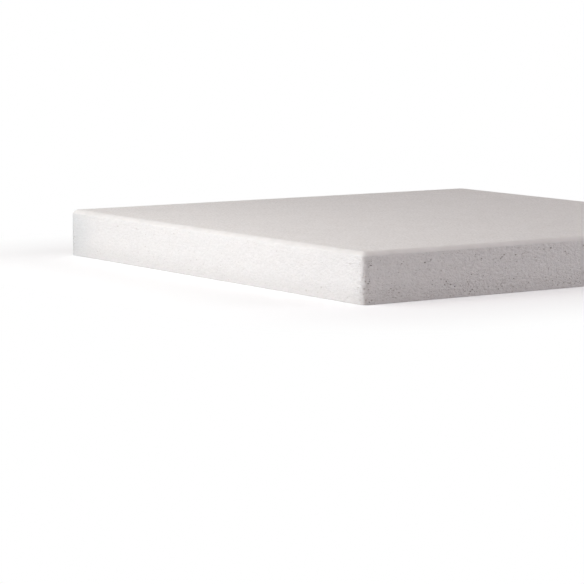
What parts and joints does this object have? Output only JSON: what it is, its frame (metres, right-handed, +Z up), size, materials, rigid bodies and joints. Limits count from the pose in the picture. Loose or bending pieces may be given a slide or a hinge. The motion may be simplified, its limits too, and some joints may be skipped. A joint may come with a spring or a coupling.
{
  "type": "polyethylene sheet",
  "caption": "Flat rectangular panel of white polyethylene with rounded top edges, for cutting boards, worktops, liners and machined parts.",
  "frame": {"origin": "centre of the underside, on the plane the sheet rests on", "axes": "+Z up through the thickness, +X along the longer side, +Y along the shorter side"},
  "size_m": [0.21, 0.2, 0.019],
  "materials": {
    "polyethylene": "matte rolled skin on the two faces, sawn and finely pitted on the four edges"
  },
  "bodies": {
    "root": {"sheet": "polyethylene"}
  },
  "joints": []
}
